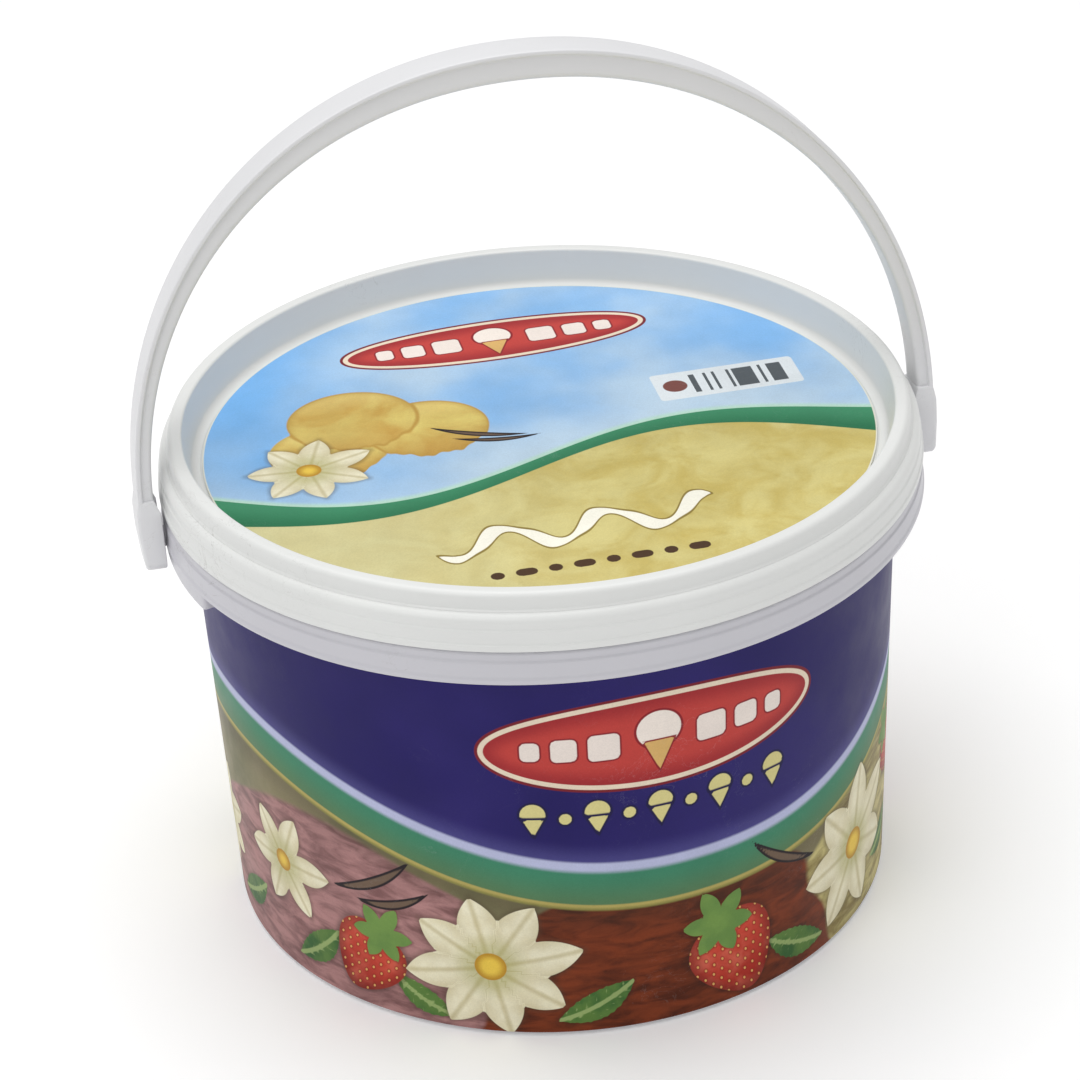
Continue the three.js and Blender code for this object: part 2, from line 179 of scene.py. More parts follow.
def grid_faces(rows, columns, wrap_rows=False):
    """Quads between neighbouring points of a grid that is counted row by row and whose columns
    close on themselves, and its rows too where they wrap."""
    r, c = np.meshgrid(np.arange(rows - (not wrap_rows)), np.arange(columns), indexing="ij")
    next_r, next_c = (r + 1) % rows, (c + 1) % columns
    quads = [r * columns + c, r * columns + next_c, next_r * columns + next_c, next_r * columns + c]
    return np.stack(quads, -1).reshape(-1, 4)


def fan_faces(pole, ring, turn_round=False):
    """Triangles from a pole to each pair of neighbours in a closed ring."""
    ring = np.asarray(ring)[::-1] if turn_round else np.asarray(ring)
    return np.stack([np.full(len(ring), pole), ring, np.roll(ring, -1)], -1)


def bar_faces(rows, columns):
    """Faces of a bar made of closed loops: its sides, turned outwards, and its two flat ends."""
    ends = [list(range(columns)), list(range((rows - 1) * columns, rows * columns))[::-1]]
    return grid_faces(rows, columns)[:, ::-1].tolist() + ends


def add_piece(name, points, faces, slot, node, body, material):
    """Mesh from points in millimetres and faces, at the origin, riding on a body in a node's place.
    Edges that bend more than the crease angle stay sharp."""
    mesh = bpy.data.meshes.new(name)
    mesh.from_pydata((np.asarray(points, float) * MM).tolist(), [], [list(f) for f in faces])
    mesh.polygons.foreach_set("use_smooth", np.ones(len(mesh.polygons), bool))
    mesh.set_sharp_from_angle(angle=np.radians(CREASE_TURN))
    mesh.materials.append(material)
    mesh.update()
    piece = bpy.data.objects.new(name, mesh)
    bpy.context.scene.collection.objects.link(piece)
    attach(piece, body)
    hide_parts(node)
    return piece


def turned_points(outline, sides):
    """Outline of (radius, height) carried round Z: (r cos a, r sin a, z) for each angle a."""
    angle = np.linspace(0, 2 * np.pi, sides, endpoint=False)
    r, z = np.asarray(outline, float).T
    x, y = np.outer(r, np.cos(angle)), np.outer(r, np.sin(angle))
    return np.stack([x, y, np.repeat(z[:, None], sides, 1)], -1)


def turned(outline, sides=SIDES):
    """Closed solid of revolution from an outline that starts and ends on the axis, going round it
    with the solid on the left: both ends become a single pole."""
    outline = np.asarray(outline, float)
    rings = turned_points(outline[1:-1], sides)
    count = len(rings)
    points = np.concatenate([rings.reshape(-1, 3), [[0, 0, outline[0, 1]], [0, 0, outline[-1, 1]]]])
    first, last = np.arange(sides), (count - 1) * sides + np.arange(sides)
    faces = grid_faces(count, sides)
    faces = [*faces.tolist(), *fan_faces(count * sides, first, True).tolist()]
    return points, faces + fan_faces(count * sides + 1, last).tolist()


# Plastic pieces


def tub_outline():
    """Half section of the tub: underside, foot ring, tapered wall, groove, collar, step and neck."""
    inner = COLLAR_RADIUS - COLLAR_THICK
    upper = COLLAR_RADIUS - COLLAR_STEP
    corners = [
        (GATE_RADIUS, BASE_RECESS + GATE_STEP),
        (GATE_RADIUS + GATE_STEP, BASE_RECESS),
        (FOOT_INNER - BASE_RECESS, BASE_RECESS),
        (FOOT_INNER, 0),
        *arc((FOOT_OUTER, FOOT_ROUND), FOOT_ROUND, -90, 0, steps=6),
        (wall_radius(FOOT_ROUND + FOOT_STEP), FOOT_ROUND + FOOT_STEP),
        (wall_radius(COLLAR_GROOVE_TOP), COLLAR_GROOVE_TOP),
        (inner, COLLAR_GROOVE_TOP),
        (inner, COLLAR_BOTTOM),
        (COLLAR_RADIUS + COLLAR_BEAD, COLLAR_BOTTOM),
        (COLLAR_RADIUS + COLLAR_BEAD, COLLAR_BOTTOM + COLLAR_BEAD_RISE),
        (COLLAR_RADIUS, COLLAR_BOTTOM + COLLAR_BEAD_FADE),
        (COLLAR_RADIUS, COLLAR_TOP - COLLAR_STEP_DROP),
        (upper, COLLAR_TOP - COLLAR_STEP_FADE),
        *arc((upper - COLLAR_ROUND, COLLAR_TOP - COLLAR_ROUND), COLLAR_ROUND, 0, 90, steps=6),
        (NECK_RADIUS, COLLAR_TOP),
        (NECK_RADIUS, NECK_TOP),
    ]
    return [(0, BASE_RECESS + GATE_STEP), *soften(corners, TUB_EDGE), (0, NECK_TOP)]


def lid_outline():
    """Half section of the lid: stepped skirt, rounded shoulder, thin crest and recessed panel."""
    inner = NECK_RADIUS + FIT_GAP
    upper = SKIRT_RADIUS - SKIRT_STEP
    crest_inside = (CREST_INNER + CREST_ROUND_IN, CREST_TOP - CREST_ROUND_IN)
    corners = [
        (inner, NECK_TOP + FIT_GAP),
        (inner, SKIRT_BOTTOM),
        (SKIRT_RADIUS + SKIRT_BEAD, SKIRT_BOTTOM),
        (SKIRT_RADIUS + SKIRT_BEAD, SKIRT_BOTTOM + SKIRT_LIP),
        (SKIRT_RADIUS, SKIRT_BOTTOM + SKIRT_LIP + SKIRT_LIP_FADE),
        (SKIRT_RADIUS - SKIRT_DRAFT, SKIRT_STEP_BOTTOM),
        (upper, SKIRT_STEP_BOTTOM + SKIRT_STEP_FADE),
        *arc((upper - SHOULDER_ROUND, SHOULDER_TOP - SHOULDER_ROUND), SHOULDER_ROUND, 0, SHOULDER_TURN, 12),
        (CREST_OUTER + CREST_FILLET, SHOULDER_TOP + CREST_FILLET / 3),
        (CREST_OUTER + CREST_FILLET / 3, SHOULDER_TOP + CREST_FILLET),
        *arc((CREST_OUTER - CREST_ROUND_OUT, CREST_TOP - CREST_ROUND_OUT), CREST_ROUND_OUT, 0, 90, 8),
        *arc(crest_inside, CREST_ROUND_IN, 90, 180 - DRAFT_TURN, 6),
        *arc((RECESS_RADIUS - RECESS_ROUND, PANEL_TOP + RECESS_ROUND), RECESS_ROUND, -DRAFT_TURN, -90, 8),
        (LID_LABEL_RADIUS + PANEL_SEAT, PANEL_TOP),
        (LID_LABEL_RADIUS + PANEL_SEAT_FOOT, PANEL_TOP - PANEL_SINK),
    ]
    return [(0, NECK_TOP + FIT_GAP), *soften(corners, LID_EDGE), (0, PANEL_TOP - PANEL_SINK)]


def collar_ribs():
    """Ribs across the groove: a rounded plate section (thickness, height) carried from the wall to
    the collar, then turned to its place round the tub."""
    half = COLLAR_RIB_THICK / 2
    top, bottom = COLLAR_GROOVE_TOP + COLLAR_RIB_BITE, COLLAR_GROOVE_TOP - COLLAR_RIB_DROP
    corners = [(half, top), (-half, top), (-half, bottom), (half, bottom)]
    section = soften(corners, COLLAR_RIB_ROUND, closed=True)
    count = len(section)
    radii = np.array([wall_radius(COLLAR_GROOVE_TOP) - BITE, COLLAR_RADIUS - COLLAR_THICK / 2])
    angle = (np.arange(COLLAR_RIBS) + 0.5) * 2 * np.pi / COLLAR_RIBS
    cos, sin = np.cos(angle)[:, None, None], np.sin(angle)[:, None, None]
    r, t = radii[None, :, None], section[None, None, :, 0]
    x, y = r * cos - t * sin, r * sin + t * cos
    points = np.stack([x, y, np.broadcast_to(section[:, 1], x.shape)], -1).reshape(-1, 3)
    ends = [list(range(count))[::-1], list(range(count, 2 * count))]
    one = grid_faces(2, count).tolist() + ends
    return points, [[i + 2 * count * k for i in face] for k in range(COLLAR_RIBS) for face in one]


def ear(side):
    """Deep part of the collar: a rounded block section (radius, height) carried along the collar
    for the ear's angle, drawn in by a quarter circle at both ends."""
    inner, outer = wall_radius(EAR_BOTTOM) - BITE, COLLAR_RADIUS - EAR_SET_BACK
    top = COLLAR_GROOVE_TOP + BITE
    corners = [(inner, EAR_BOTTOM), (outer, EAR_BOTTOM), (outer, top), (inner, top)]
    section = soften(corners, EAR_ROUND, 5, closed=True)
    ends = np.radians(np.linspace(0, 90, EAR_END_STEPS + 1))
    drawn = EAR_END_ROUND * (1 - np.sin(ends))
    inset = np.concatenate([drawn, np.zeros(EAR_STEPS - 1), drawn[::-1]])
    reach = EAR_END_ROUND / COLLAR_RADIUS
    half = np.radians(EAR_HALF_ANGLE)
    near = -half + reach * (1 - np.cos(ends))
    between = np.linspace(-half + reach, half - reach, EAR_STEPS + 1)[1:-1]
    angle = np.concatenate([near, between, -near[::-1]])
    middle = section.mean(0)
    shrink = 1 - inset[:, None, None] / np.abs(section - middle).max(0)
    loop = middle + (section - middle)[None] * shrink
    turn = angle[:, None] + (0 if side > 0 else np.pi)
    points = np.stack([loop[..., 0] * np.cos(turn), loop[..., 0] * np.sin(turn), loop[..., 1]], -1)
    return points.reshape(-1, 3), bar_faces(*points.shape[:2])


def pivot_pin(side):
    """Round pin along X: an outline (distance along the axis, radius) with a rounded end, turned
    about the hinge axis."""
    tip = arc((PIN_REACH - PIN_ROUND, PIN_RADIUS - PIN_ROUND), PIN_ROUND, 90, 0, steps=5)
    outline = [(PIN_ROOT, 0), (PIN_ROOT, PIN_RADIUS), *tip, (PIN_REACH, 0)]
    points, faces = turned([(r, -x) for x, r in outline], PIN_SIDES)
    x, y, z = points.T
    return np.stack([-z * side, y * side, x + PIVOT_HEIGHT], -1), faces


def lean_back(points):
    """Turns points about the hinge axis so that the bail leans towards +Y."""
    x, y, z = np.moveaxis(points, -1, 0)
    cos, sin = np.cos(np.radians(BAIL_LEAN)), np.sin(np.radians(BAIL_LEAN))
    return np.stack([x, y * cos + z * sin, z * cos - y * sin + PIVOT_HEIGHT], -1)


def arch_radius(angle):
    """Middle radius of the arch: R (|cos a|^n + |sin a|^n)^(-1/n), a slightly squared circle."""
    powers = np.abs(np.cos(angle)) ** ARCH_POWER + np.abs(np.sin(angle)) ** ARCH_POWER
    return BAIL_RADIUS * powers ** (-1 / ARCH_POWER)


def strap():
    """Section (width, thickness) of a flange on the outer side over a body set in at both sides,
    carried up one leg, round the arch and down the other. With s the sine of the arch's angle, what
    lies under the flange deepens with s^2 and the whole widens with s^4, to make the grip."""
    w, t = STRAP_WIDTH / 2, STRAP_THICK / 2
    body = w - STRAP_INSET
    right = [(body, -t), (body, t - STRAP_FLANGE), (w, t - STRAP_FLANGE), (w, t)]
    rounds = [STRAP_LOWER_ROUND, STRAP_ROUND, STRAP_ROUND, STRAP_ROUND]
    rounds = np.array(rounds + rounds[::-1])[:, None]
    section = soften(right + [(-x, y) for x, y in right[::-1]], rounds, 5, closed=True)
    angle = np.radians(np.linspace(0, 180, STRAP_STEPS + 1))
    radius = arch_radius(angle)
    x, z = radius * np.cos(angle), BAIL_LEG + radius * np.sin(angle)
    leg = np.linspace(0, BAIL_LEG, LEG_STEPS + 1)[:-1]
    x = np.concatenate([np.full(LEG_STEPS, BAIL_RADIUS), x, np.full(LEG_STEPS, -BAIL_RADIUS)])
    z = np.concatenate([leg, z, leg[::-1]])
    share = np.concatenate([np.zeros(LEG_STEPS), np.sin(angle) ** 2, np.zeros(LEG_STEPS)])[:, None]
    dx, dz = np.gradient(x), np.gradient(z)
    size = np.hypot(dx, dz)
    nx, nz = dz / size, -dx / size
    below = np.maximum(t - STRAP_FLANGE - section[None, :, 1], 0) * share
    depth = section[None, :, 1] - below * (GRIP_THICK - STRAP_THICK) / (STRAP_THICK - STRAP_FLANGE)
    across = section[None, :, 0] * (1 + share**2 * (GRIP_WIDTH / STRAP_WIDTH - 1))
    points = np.stack([x[:, None] + nx[:, None] * depth, across, z[:, None] + nz[:, None] * depth], -1)
    return lean_back(points.reshape(-1, 3)), bar_faces(*points.shape[:2])


def lug(side):
    """Block round the hinge axis with a blind eye: rings that run from the bottom of the eye over
    the inner face, round the edge and over the outer face, which tapers to the foot and the strap."""
    w, neck = LUG_HALF_WIDTH, LUG_RISE - LUG_NECK
    corner = arc((w - LUG_CORNER, LUG_CORNER - LUG_DROP), LUG_CORNER, -90, 0, steps=8)
    half = [*corner, (w, neck), (STRAP_WIDTH / 2, LUG_RISE)]
    edge = soften(half + [(-y, z) for y, z in half[::-1]], LUG_WAIST_ROUND, 4, closed=True)
    steps = np.linspace(0, 1, 4, endpoint=False)[None, :, None]
    edge = (edge[:, None] + (np.roll(edge, -1, 0) - edge)[:, None] * steps).reshape(-1, 2)
    long = np.linalg.norm(edge, axis=1, keepdims=True)

    def outer(z):
        """Outer face: level with the strap at the top, full in the middle, tapered to the foot."""
        heights = [-LUG_DROP, LUG_TAPER_TOP, neck, LUG_RISE]
        reach = [LUG_OUTER - LUG_TAPER, LUG_OUTER, LUG_OUTER, BAIL_RADIUS + STRAP_THICK / 2]
        return np.interp(z, heights, reach)

    def inner(z):
        """Inner face: flat to the neck, then out to the inner side of the strap."""
        return np.interp(z, [neck, LUG_RISE], [LUG_INNER, BAIL_RADIUS - STRAP_THICK / 2])

    eye = edge / long * (PIN_RADIUS + FIT_GAP)
    bottom = PIN_REACH + 2 * FIT_GAP
    rings = [np.column_stack([np.full(len(eye), bottom), eye]), np.column_stack([inner(eye[:, 1]), eye])]
    for inset, rise in LUG_BEVEL:
        loop = edge * (1 - inset / long)
        rings.append(np.column_stack([inner(loop[:, 1]) + rise, loop]))
    for angle in np.radians(np.linspace(0, 90, 5)):
        loop = edge * (1 - LUG_FACE_ROUND * (1 - np.cos(angle)) / long)
        rings.append(np.column_stack([outer(loop[:, 1]) - LUG_FACE_ROUND * (1 - np.sin(angle)), loop]))
    for part in np.linspace(0.85, 0.08, 12):
        loop = edge * part
        rings.append(np.column_stack([outer(loop[:, 1]), loop]))
    rings = np.stack(rings)
    rows, columns = rings.shape[:2]
    points = np.concatenate([rings.reshape(-1, 3), [[bottom, 0, 0], [float(outer(0)), 0, 0]]])
    faces = grid_faces(rows, columns)[:, ::-1].tolist()
    faces += fan_faces(rows * columns, np.arange(columns)).tolist()
    faces += fan_faces(rows * columns + 1, (rows - 1) * columns + np.arange(columns), True).tolist()
    points[:, :2] *= side
    return lean_back(points), faces


# Signed fields of the printed shapes, in millimetres: below zero inside a shape


def local(across, up, centre, turn=0):
    """Coordinates about a shape's centre, or its nearest repeat one print's length away, turned
    back by the shape's angle."""
    a = np.mod(across - centre[0] + PRINT_LENGTH / 2, PRINT_LENGTH) - PRINT_LENGTH / 2
    u = up - centre[1]
    cos, sin = np.cos(np.radians(turn)), np.sin(np.radians(turn))
    return a * cos + u * sin, u * cos - a * sin


def oval(across, up, centre, half):
    """Distance outside an ellipse: k (k - 1) / |p / h^2| with k = |p / h|."""
    x, y = local(across, up, centre)
    k = np.hypot(x / half[0], y / half[1])
    slope = np.maximum(np.hypot(x / half[0] ** 2, y / half[1] ** 2), 1e-6)
    return k * (k - 1) / slope


def bar(across, up, centre, half, round_by):
    """Distance outside a box with round corners."""
    x, y = local(across, up, centre)
    dx, dy = np.abs(x) - half[0] + round_by, np.abs(y) - half[1] + round_by
    return np.hypot(np.maximum(dx, 0), np.maximum(dy, 0)) + np.minimum(np.maximum(dx, dy), 0) - round_by


def blossom(across, up, centre, radius, petals, turn):
    """Ring of pointed petals. Each is a lens, wide where it leaves the core and narrow at its tip.
    Returns the distance outside them, and how far across the nearest petal a point lies."""
    x, y = local(across, up, centre, turn)
    angle, r = np.arctan2(y, x), np.hypot(x, y)
    step = 2 * np.pi / petals
    which = np.round(angle / step)
    off = angle - which * step
    reach = radius * (1 - 0.14 * np.abs(np.sin(which * 2.4)))
    past, side = r * np.cos(off) - reach, r * np.sin(off)
    along = past / reach + 1
    width = radius * 0.36 * np.sqrt(np.clip(along, 0, 1)) * np.clip(1 - along**3, 0, 1)
    return np.where(past > 0, np.hypot(past, side), np.abs(side) - width), side / (radius * 0.36)


def berry(across, up, centre, size, turn):
    """Heart-like fruit: an ellipse whose width falls towards its tip.
    Returns the distance outside it and the point's own coordinates within it."""
    x, y = local(across, up, centre, turn)
    v = y / size
    width = size * 0.86 * (1 + 0.34 * np.clip(v, -1, 1))
    return (np.hypot(x / width, v) - 1) * size * 0.8, x, y, v


def crown(across, up, centre, size, turn):
    """Leaf star at the top of a fruit: six short pointed leaves."""
    x, y = local(across, up, centre, turn)
    return blossom(x, y, (0, size * 0.88), size * 0.85, 6, 90)[0]


def lens(x, y, half):
    """Distance outside a lens whose half width is h (1 - (x / a)^2), and from its tip beyond it."""
    away = np.maximum(np.abs(x) - half[0], 0)
    return np.where(away > 0, np.hypot(away, y), np.abs(y) - half[1] * (1 - (x / half[0]) ** 2))


def pod(across, up, centre, half, turn, bend):
    """Long thin bent pod: a lens about a parabola."""
    x, y = local(across, up, centre, turn)
    return lens(x, y - bend * (x / half[0]) ** 2, half)


def leaf(across, up, centre, half, turn, bend):
    """Leaf: a bent lens with small teeth. Returns the distance outside it and the distance from
    its rib and its side veins."""
    x, y = local(across, up, centre, turn)
    y = y - bend * (x / half[0]) ** 2
    teeth = 0.5 * np.abs(np.sin(x * 1.25))
    veins = np.abs(np.mod(x - np.abs(y) * 0.9, 3.2) - 1.6)
    return lens(x, y, half) + teeth - 0.3, np.minimum(np.abs(y) - 0.35, veins + 0.2)


def cone(across, up, centre, size):
    """Wafer: a triangle that points down."""
    x, y = local(across, up, centre)
    return np.maximum(y, np.abs(x) * 0.92 + (-y - 1.5 * size) * 0.42)


def small_cone(across, up, centre):
    """A dome over a pointed wafer, with a gap between the two."""
    x, y = local(across, up, centre)
    dome = np.maximum(oval(x, y, (0, 0.6), (3.6, 3.7)), 0.1 - y)
    wafer = np.maximum(y + 0.9, (np.abs(x) - 3.0 - (y + 0.9) * 0.53) * 0.88)
    return np.minimum(dome, wafer)


def closest(shapes):
    """Of several shapes, each a distance and its other fields, the one that is nearest a point."""
    stacks = [np.stack(field) for field in zip(*shapes)]
    which = stacks[0].argmin(0)[None]
    return [np.take_along_axis(field, which, 0)[0] for field in stacks]


def nearest(*fields):
    """The smallest of several distances: the union of their shapes."""
    return np.minimum.reduce([np.asarray(f, float) for f in fields])


def side_print_fields(angle, up):
    """All fields of the side print at an angle from -Y and a height."""
    s = (angle - PRINT_TURN) * PRINT_RADIUS
    valley = VALLEY_LOW + VALLEY_RISE * (np.sin(angle - VALLEY_TURN) ** 2) ** VALLEY_POWER
    ripple = 2.5 * np.sin(up / 9) + 1.5 * np.sin(up / 4 + 1)
    flower, fold = closest([blossom(s, up, *b) for b in SIDE_BLOSSOMS])
    fruit, fruit_x, fruit_y, fruit_high = closest([berry(s, up, *b) for b in SIDE_BERRIES])
    leaves, rib = closest([leaf(s, up, *p) for p in SIDE_LEAVES])
    cores = nearest(*[oval(s, up, b[0], (CORE_SHARE * b[1], CORE_SHARE * b[1])) for b in SIDE_BLOSSOMS])
    pods = nearest(*[pod(s, up, *p) for p in SIDE_PODS])
    crowns = nearest(*[crown(s, up, *b) for b in SIDE_BERRIES])
    row = [small_cone(s, up, c) for c in SIDE_CONES]
    dots = [oval(s, up, c, (DOT_RADIUS, DOT_RADIUS)) for c in SIDE_DOTS]
    bars = [bar(s, up, (x, PLAQUE_HEIGHT), half, BAR_ROUND) for x, half in PLAQUE_BARS]
    scoops = {name: oval(s, up, c, half) + way * ripple for name, (c, half, way) in SIDE_SCOOPS.items()}
    return scoops | {
        "wave": up - valley,
        "blossom": flower,
        "fold": fold,
        "core": cores,
        "berry": fruit,
        "berry across": fruit_x,
        "berry up": fruit_y,
        "berry height": fruit_high,
        "leaf": leaves,
        "rib": rib,
        "crown": crowns,
        "pod": pods,
        "plaque": oval(s, up, (0, PLAQUE_HEIGHT), PLAQUE_HALF),
        "plaque bars": nearest(*bars),
        "cone": cone(s, up, *PLAQUE_CONE),
        "ball": oval(s, up, *PLAQUE_BALL),
        "beads": nearest(*row, *dots),
        "film end": np.abs(np.mod(angle - SEAM_TURN + np.pi, 2 * np.pi) - np.pi) * PRINT_RADIUS,
    }


def lid_print_fields(x, y):
    """All fields of the lid's print at a point of its plane, +Y away from the front."""
    wave = y - (LID_WAVE_LOW + LID_WAVE_RISE * np.sin((x + LID_WAVE_SHIFT) / LID_WAVE_HALF * np.pi))
    band = BAND_HALF + BAND_SPREAD * (x / LID_WAVE_HALF) ** 2
    flower, fold = blossom(x, y, *LID_BLOSSOM)
    highs = [(y - c[1]) / r for c, r in LID_BALLS]
    ragged = 0.7 * np.sin(x * 0.62) + 0.4 * np.sin(x * 1.5 + 1)
    balls = [oval(x, y, c, (r, r * BALL_SQUASH)) for c, r in LID_BALLS]
    balls = [ball + ragged * np.clip(-high, 0, 1) for ball, high in zip(balls, highs)]
    behind = np.where(balls[0] < 0, FAR_OFF, np.abs(balls[1]))
    row = [bar(x, y, c, half, DASH_ROUND) for c, half in DASHES]
    swing = x / STROKE_PITCH
    stroke = y - (STROKE_HEIGHT + STROKE_TILT * x + STROKE_SWING * np.sin(swing))
    slope = np.sqrt(1 + (STROKE_SWING / STROKE_PITCH * np.cos(swing)) ** 2)
    ends = np.clip(np.abs(x) - STROKE_END, 0, 9)
    thick = STROKE_HALF + STROKE_SWELL * np.sin(2 * swing) - STROKE_TAPER * ends
    scale, height = LID_PLAQUE_SCALE, LID_PLAQUE_HEIGHT
    bars = [bar(x, y, (a * scale, height), (w * scale, h), LID_BAR_ROUND) for a, (w, h) in PLAQUE_BARS]
    return {
        "wave": wave,
        "band": np.abs(wave) - band,
        "mint": wave - band,
        "balls": nearest(*balls),
        "ball height": np.select([balls[0] < 0, balls[1] < 0], highs[:2], highs[2]),
        "ball rim": nearest(np.abs(balls[0]), behind) - BALL_RIM,
        "blossom": flower,
        "fold": fold,
        "core": oval(x, y, LID_BLOSSOM[0], LID_CORE),
        "pod": nearest(*[pod(x, y, *p) for p in LID_PODS]),
        "plaque": oval(x, y, (0, LID_PLAQUE_HEIGHT), LID_PLAQUE_HALF),
        "plaque bars": nearest(*bars),
        "cone": cone(x, y, *LID_PLAQUE_CONE),
        "ball": oval(x, y, *LID_PLAQUE_BALL),
        "flourish": np.abs(stroke) / slope - thick,
        "beads": nearest(*row),
        "patch": bar(x, y, *PATCH),
        "patch dot": oval(x, y, *PATCH_DOT),
        "patch bars": bar(x, y, *PATCH_BARS),
        "rim": LID_LABEL_RADIUS - np.hypot(x, y),
    }


def keep_fields(piece, fields):
    """Stores each field as one number a point on the piece, for its material to read."""
    for name, values in fields.items():
        data = piece.data.attributes.new(name, "FLOAT", "POINT").data
        data.foreach_set("value", np.asarray(values, np.float32).ravel())


def side_film():
    """Thin sleeve on the wall: columns round the tub and rows up it, outside and then back down
    inside. Its top drops by the notch within the ears' angle."""
    notch = np.radians(NOTCH_HALF_ANGLE)
    corners = [side * np.pi / 2 + end * notch for side in (1, -1) for end in (1, -1)]
    edges = [corner + nudge for corner in corners for nudge in (-NOTCH_NUDGE, NOTCH_NUDGE)]
    angle = np.linspace(-np.pi, np.pi, SLEEVE_COLUMNS, endpoint=False)
    angle = np.sort(np.concatenate([angle, edges]))
    notched = np.abs(np.abs(angle) - np.pi / 2) < notch
    top = np.where(notched, LABEL_NOTCH, LABEL_TOP)
    share = np.linspace(0, 1, SLEEVE_ROWS)
    up = LABEL_BOTTOM + share[:, None] * (top - LABEL_BOTTOM)[None]
    inside = wall_radius(up) + FIT_GAP
    heights = np.concatenate([up, up[[-1, 0]]])
    radius = np.concatenate([inside + LABEL_THICK, inside[[-1, 0]]])
    turn = np.broadcast_to(angle, heights.shape)
    points = np.stack([radius * np.sin(turn), -radius * np.cos(turn), heights], -1)
    rows, columns = heights.shape
    faces = grid_faces(rows, columns, wrap_rows=True)
    return points.reshape(-1, 3), faces.tolist(), side_print_fields(turn, heights)


def lid_film():
    """Thin disc in the lid's recess: rings from the middle to the rim, then down and under."""
    bottom = PANEL_TOP + FIT_GAP
    radii = np.linspace(0, LID_LABEL_RADIUS, DISC_RINGS)[1:]
    outline = [(0, bottom), (LID_LABEL_RADIUS, bottom)]
    outline += [(r, bottom + LABEL_THICK) for r in radii[::-1]] + [(0, bottom + LABEL_THICK)]
    points, faces = turned(outline, DISC_SIDES)
    return points, faces, lid_print_fields(points[:, 0], points[:, 1])


# Materials

SCUFF_DULLS, RELIEF, FILM_BUMP, FILM_SHEEN = 0.2, 0.0002, 0.12, 0.14


def tint(code):
    """Linear colour from six hexadecimal digits."""
    value = np.array([int(code[i : i + 2], 16) for i in (0, 2, 4)]) / 255
    linear = np.where(value <= 0.04045, value / 12.92, ((value + 0.055) / 1.055) ** 2.4)
    return (*[float(v) for v in linear], 1.0)


class Net:
    """One node tree, with short ways to add nodes to it and join them."""

    def __init__(self, tree):
        self.tree = tree

    def put(self, socket, value):
        """Joins a socket to another one, or sets its value."""
        if isinstance(value, bpy.types.NodeSocket):
            self.tree.links.new(value, socket)
        else:
            socket.default_value = value

    def add(self, kind, values=None, **settings):
        """New node with its settings and inputs."""
        node = self.tree.nodes.new(kind)
        for key, value in settings.items():
            setattr(node, key, value)
        for key, value in (values or {}).items():
            self.put(node.inputs[key], value)
        return node

    def math(self, operation, *values, clamp=False):
        """One sum on numbers or sockets."""
        values = dict(enumerate(values))
        return self.add("ShaderNodeMath", values, operation=operation, use_clamp=clamp).outputs[0]

    def ramp(self, value, low, high, to_low=0.0, to_high=1.0):
        """Smooth step from one value to another between two limits."""
        values = {0: value, 1: low, 2: high, 3: to_low, 4: to_high}
        return self.add("ShaderNodeMapRange", values, interpolation_type="SMOOTHSTEP").outputs[0]

    def inside(self, field, edge=0.0, soft=0.14):
        """Mask of the inside of a printed shape, with a soft edge."""
        return self.ramp(field, edge + soft, edge - soft)

    def mix(self, share, a, b, blend="MIX"):
        """Two colours mixed by a share."""
        node = self.add("ShaderNodeMix", {0: share, 6: a, 7: b}, data_type="RGBA", blend_type=blend)
        return node.outputs[2]

    def lay(self, ink, shape, colour, edge=0.0, soft=0.14):
        """A plain colour laid over an ink inside a printed shape."""
        return self.mix(self.inside(shape, edge, soft), ink, tint(colour))

    def shade(self, ink, field, low, high, share, colour):
        """A colour laid over an ink, by a share that grows from one limit of a field to another."""
        return self.mix(self.ramp(field, low, high, 0.0, share), ink, tint(colour))

    def noise(self, place, scale, detail=2.0, rough=0.5, twist=0.0):
        """Soft noise from 0 to 1."""
        values = {"Vector": place, "Scale": scale, "Detail": detail, "Roughness": rough, "Distortion": twist}
        return self.add("ShaderNodeTexNoise", values).outputs[0]

    def cells(self, place, scale):
        """Distance from the nearest of scattered points."""
        return self.add("ShaderNodeTexVoronoi", {"Vector": place, "Scale": scale}).outputs[0]

    def grey(self, tone):
        """Grey colour from one number."""
        return self.add("ShaderNodeCombineColor", {0: tone, 1: tone, 2: tone}).outputs[0]

    def stretch(self, place, factors):
        """Coordinates scaled by a factor along each axis."""
        return self.add("ShaderNodeMapping", {"Vector": place, "Scale": factors}).outputs[0]

    def place(self):
        """Object coordinates."""
        return self.add("ShaderNodeTexCoord").outputs["Object"]

    def field(self, name):
        """A number kept on the piece's points."""
        return self.add("ShaderNodeAttribute", attribute_name=name).outputs["Fac"]

    def effect(self, group, **values):
        """A shared effect placed with its own values; underscores in names stand for spaces."""
        node = self.add("ShaderNodeGroup", node_tree=group)
        for key, value in values.items():
            self.put(node.inputs[key.replace("_", " ")], value)
        return node.outputs


def new_effect(name, inputs, outputs):
    """Empty shader node group with named sockets: its net, its inputs and its exit node."""
    tree = bpy.data.node_groups.new(name, "ShaderNodeTree")
    kinds = {"v": "NodeSocketVector", "f": "NodeSocketFloat", "c": "NodeSocketColor"}
    for label, kind in inputs.items():
        tree.interface.new_socket(name=label, in_out="INPUT", socket_type=kinds[kind])
    for label, kind in outputs.items():
        tree.interface.new_socket(name=label, in_out="OUTPUT", socket_type=kinds[kind])
    net = Net(tree)
    return net, net.add("NodeGroupInput").outputs, net.add("NodeGroupOutput").inputs


